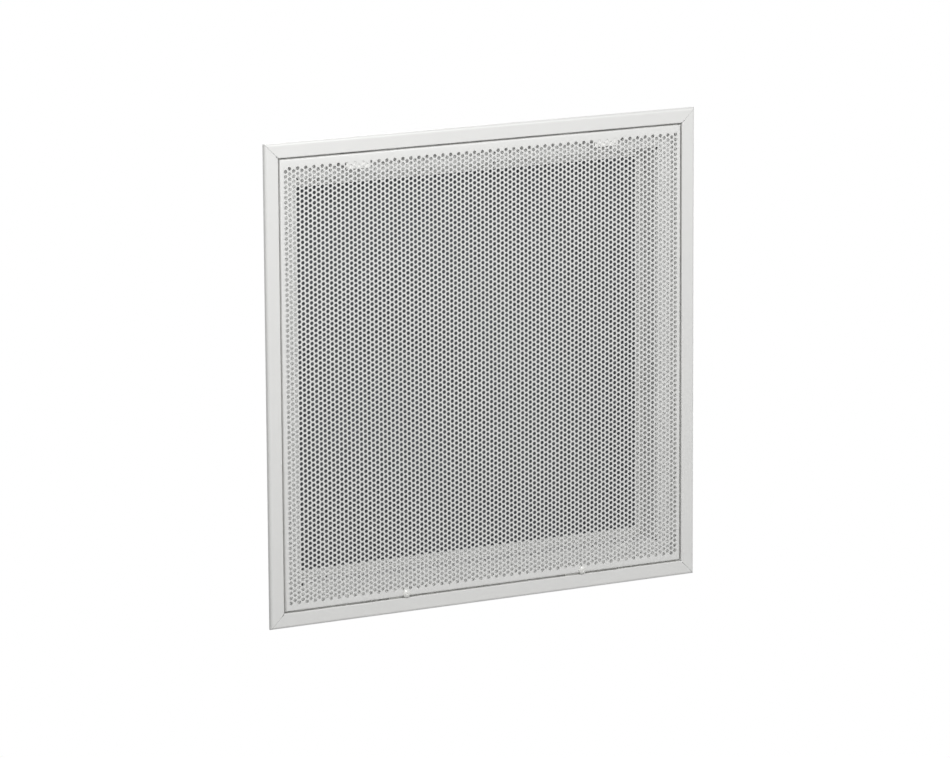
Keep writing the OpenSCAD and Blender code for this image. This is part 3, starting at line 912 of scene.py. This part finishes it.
def clip_rivets(size, tree, material):
    """One for each filter clip, through the box, with its head inside."""
    low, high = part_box("clip_rivets")
    height = size.head_height
    x, y = high.x - size.tail / 2, (low.y + high.y) / 2
    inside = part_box("filter_clips")[1].z
    clip = inside - size.clip_sheet
    grip = high.z - height - inside + size.clip_sheet
    places = [((sx * x, y, sz * clip), (0, 0, -sz)) for sx in (-1, 1) for sz in (-1, 1)]
    rivet = rivet_mesh(
        "clip_rivet", size.shank, grip, size.tail, height, size.tail, height,
    )
    rivets("clip_rivets", tree, rivet, places, material, "housing")


def hinge_rivets(size, tree, material):
    """A pair for each hinge bracket, one on each side of its strap."""
    low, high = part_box("hinge_rivets")
    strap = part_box("hinge_strap_right")
    middle = (strap[0].x + strap[1].x) / 2
    outer = high.x - size.tail / 2
    y, z = (low.y + high.y) / 2, high.z - size.head_height
    places = [((s * x, y, z), (0, 0, 1)) for s in (-1, 1) for x in (outer, 2 * middle - outer)]
    rivet = rivet_mesh("hinge_rivet", size.shank, z - low.z, size.tail, size.head_height)
    rivets("hinge_rivets", tree, rivet, places, material, "housing")


def latch_rivets(size, tree, material, latch_x):
    """A pair for each latch guide. Both latches look the same way, so the left pair is the right
    one moved along, not mirrored."""
    low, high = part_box("latch_rivets")
    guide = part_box("latch_guide_right")
    outer = high.x - size.latch_head / 2
    inner = guide[0].x + (guide[1].x - outer)
    shift = guide[0].x + guide[1].x - 2 * latch_x
    y, z = (low.y + high.y) / 2, high.z - size.head_height
    places = [((x, y, z), (0, 0, 1)) for x in (outer, inner, shift - outer, shift - inner)]
    rivet = rivet_mesh(
        "latch_rivet", size.latch_shank, z - low.z, size.latch_head, size.head_height,
    )
    rivets("latch_rivets", tree, rivet, places, material, "door")


class GRILLE_OT_rivets(bpy.types.Operator):
    """Makes the domed rivets of the box, the filter clips, the hinges and the latches"""

    bl_idname = "grille.rivets"
    bl_label = "Rivets"

    def execute(self, context):
        scene = context.scene
        size, finishes = scene.grille_rivets, scene.grille_finishes
        zinc, dark = zinc_plate(finishes.zinc), dark_steel(finishes.steel)
        tree = rivet_tree()
        box_rivets(size, tree, zinc)
        # Painted shade: the clip rivets are nearly black, for the dark holes in the middle of their
        # heads.
        clip_rivets(size, tree, dark)
        hinge_rivets(size, tree, zinc)
        latch_rivets(size, tree, zinc, scene.grille_folds.latch_x)
        return {"FINISHED"}


# Filter


def pad_mesh(low, high, bar_spacing, swell, nap, cells=150):
    """A closed pad that bulges back between the bars of the screen and a little to the front."""
    half = (high.x - low.x) / 2
    middle = Vector(((low.x + high.x) / 2, 0, (low.z + high.z) / 2))
    window = half - LIP
    points, faces = [], []
    for layer, (y, way) in enumerate(((low.y, -1), (high.y, 1))):
        for j in range(cells + 1):
            for i in range(cells + 1):
                x, z = (2 * i / cells - 1) * half, (2 * j / cells - 1) * half
                free = max(0.0, min(1.0, (window - max(abs(x), abs(z))) / PAD_SLOPE))
                fluff = noise.noise(Vector((x, z, layer)) / TUFT) * nap
                if way > 0:
                    bay = math.sin(math.pi * x / bar_spacing) * math.sin(math.pi * z / bar_spacing)
                    rise = swell * math.sqrt(abs(bay)) + PRESSED * fluff
                else:
                    rise = swell * FRONT_SWELL + fluff
                points.append((middle.x + x, y + way * max(0.0, rise) * free, middle.z + z))
    row = cells + 1
    back = row * row
    for j in range(cells):
        for i in range(cells):
            a = j * row + i
            faces.append((a, a + 1, a + row + 1, a + row))
            faces.append((back + a, back + a + row, back + a + row + 1, back + a + 1))
    border = list(range(row)) + [j * row + cells for j in range(1, row)]
    border += [cells * row + i for i in range(cells - 1, -1, -1)]
    border += [j * row for j in range(cells - 1, 0, -1)]
    for a, b in zip(border, border[1:] + border[:1]):
        faces.append((b, a, back + a, back + b))
    return mesh_of("filter_pad", points, faces)


class GRILLE_OT_filter(bpy.types.Operator):
    """Makes the fibre pad and finishes the channel and the screen that hold it"""

    bl_idname = "grille.filter"
    bl_label = "Filter"

    def execute(self, context):
        size, finishes = context.scene.grille_filter, context.scene.grille_finishes
        mesh = pad_mesh(PAD_LOW, PAD_HIGH, size.bar_spacing, size.swell, size.nap)
        pad = add_object("filter_pad", mesh)
        dress(pad, fibre_pad(size.tint))
        round_off(pad.data, 60)
        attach(pad, "housing")
        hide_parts("filter_media")
        dress_nodes(rolled_sheet(finishes.channel), "filter_frame")
        dress_nodes(zinc_plate(finishes.zinc), "filter_screen")
        return {"FINISHED"}


# Pieces that keep their CAD shapes


class GRILLE_OT_frame(bpy.types.Operator):
    """Finishes the frame with its corner keys, and the box with its clips and sealed corners, whose
    black plugs are partly painted shade
    """

    bl_idname = "grille.frame"
    bl_label = "Frame and Box"

    def execute(self, context):
        finishes = context.scene.grille_finishes
        ends, sides = ("top", "bottom"), ("left", "right")
        members = [f"frame_{side}" for side in ends + sides]
        dress_nodes(enamel("enamel_frame", finishes.enamel), *members)
        box = [f"box_{side}" for side in ends + sides]
        dress_nodes(enamel("enamel_box", finishes.box_enamel, 0.45), *box, "filter_clips")
        keys = [f"corner_key_{end}_{side}" for end in ends for side in sides]
        dress_nodes(zinc_plate(finishes.zinc), *keys)
        # The black of the corner plugs is partly painted shade, for the dark gaps behind the box's
        # corners.
        dress_nodes(sealant_and_shade(finishes.mastic), "corner_plugs")
        return {"FINISHED"}


class GRILLE_OT_hinges(bpy.types.Operator):
    """Finishes the straps, brackets and pins of the two hinges"""

    bl_idname = "grille.hinges"
    bl_label = "Hinges"

    def execute(self, context):
        finishes = context.scene.grille_finishes
        zinc, paint = zinc_plate(finishes.zinc), enamel("enamel_door", finishes.enamel)
        for side in ("left", "right"):
            dress_nodes(zinc, f"hinge_bracket_{side}", f"hinge_pin_{side}")
            dress_nodes(paint, f"hinge_strap_{side}")
        return {"FINISHED"}


class GRILLE_OT_latches(bpy.types.Operator):
    """Finishes the guides, bolts and thumb buttons of the two latches"""

    bl_idname = "grille.latches"
    bl_label = "Latches"

    def execute(self, context):
        finishes = context.scene.grille_finishes
        paint = enamel("enamel_door", finishes.enamel)
        bolt = moulded("bolt_nylon", finishes.bolt, roughness=0.42, coat=0.0)
        button = moulded("button_nylon", finishes.button, roughness=0.22, coat=0.3)
        for side in ("left", "right"):
            dress_nodes(paint, f"latch_guide_{side}")
            dress_nodes(bolt, f"latch_bolt_{side}")
            dress_nodes(button, f"latch_button_{side}")
        return {"FINISHED"}


# Studio


def place_camera(studio):
    """Sets the camera so that the grille's middle stands aside and above the picture's middle."""
    yaw, pitch, turn = studio.azimuth, studio.elevation, studio.roll
    back = Vector((
        math.sin(yaw) * math.cos(pitch), -math.cos(yaw) * math.cos(pitch), math.sin(pitch),
    ))
    level = Vector((math.cos(yaw), math.sin(yaw), 0.0))
    rise = back.cross(level)
    right = level * math.cos(turn) + rise * math.sin(turn)
    up = rise * math.cos(turn) - level * math.sin(turn)
    spot = back * studio.distance - right * studio.aside - up * studio.above
    camera = add_object("camera", bpy.data.cameras.new("camera"))
    camera.data.sensor_width, camera.data.lens = 36.0, studio.lens
    camera.data.clip_start, camera.data.clip_end = 0.1, 100.0
    camera.matrix_world = Matrix((
        (right.x, up.x, back.x, spot.x), (right.y, up.y, back.y, spot.y),
        (right.z, up.z, back.z, spot.z), (0, 0, 0, 1),
    ))
    bpy.context.scene.camera = camera


def plain_view(tree):
    """1 for what the camera, metal or glass sees, and 0 for the light that falls on things."""
    path = add_node(tree, "ShaderNodeLightPath").outputs
    seen = path["Is Camera Ray"]
    for ray in ("Is Glossy Ray", "Is Transmission Ray"):
        seen = add_node(
            tree, "ShaderNodeMath", {0: seen, 1: path[ray]}, operation="MAXIMUM",
        ).outputs[0]
    return seen


def floor_material():
    """Matt white paper near the grille, where its shadow falls, that fades to plain white further
    out and can't be seen from below."""
    material = bpy.data.materials.new("studio_paper")
    material.use_nodes = True
    tree = material.node_tree
    tree.nodes.clear()
    place = add_node(tree, "ShaderNodeTexCoord").outputs["Object"]
    reach = add_node(
        tree, "ShaderNodeVectorMath", {0: place}, operation="LENGTH",
    ).outputs["Value"]
    far = add_node(
        tree, "ShaderNodeMapRange", {"Value": reach, "From Min": FADE_START, "From Max": FADE_END},
        interpolation_type="SMOOTHSTEP",
    ).outputs[0]
    plain = add_node(
        tree, "ShaderNodeMath", {0: far, 1: plain_view(tree)}, operation="MULTIPLY",
    ).outputs[0]
    paper = add_node(tree, "ShaderNodeBsdfDiffuse", {"Color": (*linear("#F4F4F4"), 1.0)})
    white = add_node(tree, "ShaderNodeEmission")
    lit = add_node(
        tree, "ShaderNodeMixShader", {0: plain, 1: paper.outputs[0], 2: white.outputs[0]},
    )
    under = add_node(tree, "ShaderNodeNewGeometry").outputs["Backfacing"]
    clear = add_node(tree, "ShaderNodeBsdfTransparent")
    both = add_node(
        tree, "ShaderNodeMixShader", {0: under, 1: lit.outputs[0], 2: clear.outputs[0]},
    )
    add_node(tree, "ShaderNodeOutputMaterial", {"Surface": both.outputs[0]})
    return material


def lay_floor(drop):
    """A wide plain floor below the grille."""
    corners = [(-1, -1), (1, -1), (1, 1), (-1, 1)]
    points = [(x * FLOOR_HALF, y * FLOOR_HALF, 0) for x, y in corners]
    floor = add_object("floor", mesh_of("floor", points, [(0, 1, 2, 3)]))
    if floor.data.polygons[0].normal.z < 0:
        floor.data.flip_normals()
    floor.location.z = -drop
    dress(floor, floor_material())


def light_all_round(strength):
    """Even light from all sides, and plain white where it is seen."""
    world = bpy.data.worlds.new("studio")
    bpy.context.scene.world = world
    world.use_nodes = True
    tree = world.node_tree
    tree.nodes.clear()
    level = add_node(tree, "ShaderNodeMapRange", {
        "Value": plain_view(tree), "To Min": strength, "To Max": 1.0,
    })
    sky = add_node(tree, "ShaderNodeBackground", {
        "Color": (1.0, 1.0, 1.0, 1.0), "Strength": level.outputs[0],
    })
    add_node(tree, "ShaderNodeOutputWorld", {"Surface": sky.outputs[0]})


def lamp(name, size, place, watts):
    """A square soft lamp at a place, turned to the middle of the grille."""
    light = bpy.data.lights.new(name, "AREA")
    light.shape, light.size, light.energy = "SQUARE", size, watts
    made = add_object(name, light)
    made.location = place
    made.rotation_mode = "QUATERNION"
    made.rotation_quaternion = (-Vector(place)).to_track_quat("-Z", "Y")


class GRILLE_OT_studio(bpy.types.Operator):
    """Sets the floor, the light all round, the lamps and the camera"""

    bl_idname = "grille.studio"
    bl_label = "Studio"

    def execute(self, context):
        studio = context.scene.grille_studio
        place_camera(studio)
        lay_floor(studio.floor_drop)
        light_all_round(studio.world)
        for name, size, place in LAMPS:
            lamp(f"{name}_lamp", size, place, getattr(studio, name))
        context.scene.view_settings.view_transform = "Standard"
        return {"FINISHED"}


STEPS = (
    GRILLE_OT_face, GRILLE_OT_rim, GRILLE_OT_frame, GRILLE_OT_hinges, GRILLE_OT_latches,
    GRILLE_OT_rivets, GRILLE_OT_filter, GRILLE_OT_studio,
)
GROUPS = {
    "grille_face": GrilleFace, "grille_folds": GrilleFolds, "grille_rivets": GrilleRivets,
    "grille_filter": GrilleFilter, "grille_finishes": GrilleFinishes,
    "grille_studio": GrilleStudio,
}


class GRILLE_PT_panel(bpy.types.Panel):
    """Sizes, colours and steps of the grille"""

    bl_idname = "GRILLE_PT_panel"
    bl_label = "Filter Grille"
    bl_space_type = "VIEW_3D"
    bl_region_type = "UI"
    bl_category = "Filter Grille"

    def draw(self, context):
        layout = self.layout
        for name, group in GROUPS.items():
            box = layout.box()
            box.label(text=group.__doc__)
            for prop in group.__annotations__:
                box.prop(getattr(context.scene, name), prop)
        for step in STEPS:
            layout.operator(step.bl_idname)


CLASSES = (*GROUPS.values(), *STEPS, GRILLE_PT_panel)


def register():
    for made in CLASSES:
        bpy.utils.register_class(made)
    for name, group in GROUPS.items():
        setattr(bpy.types.Scene, name, PointerProperty(type=group))


def unregister():
    for name in GROUPS:
        delattr(bpy.types.Scene, name)
    for made in reversed(CLASSES):
        bpy.utils.unregister_class(made)


def main():
    register()
    bpy.ops.grille.face()
    bpy.ops.grille.rim()
    bpy.ops.grille.frame()
    bpy.ops.grille.hinges()
    bpy.ops.grille.latches()
    bpy.ops.grille.rivets()
    bpy.ops.grille.filter()
    bpy.ops.grille.studio()


if __name__ == "__main__":
    main()
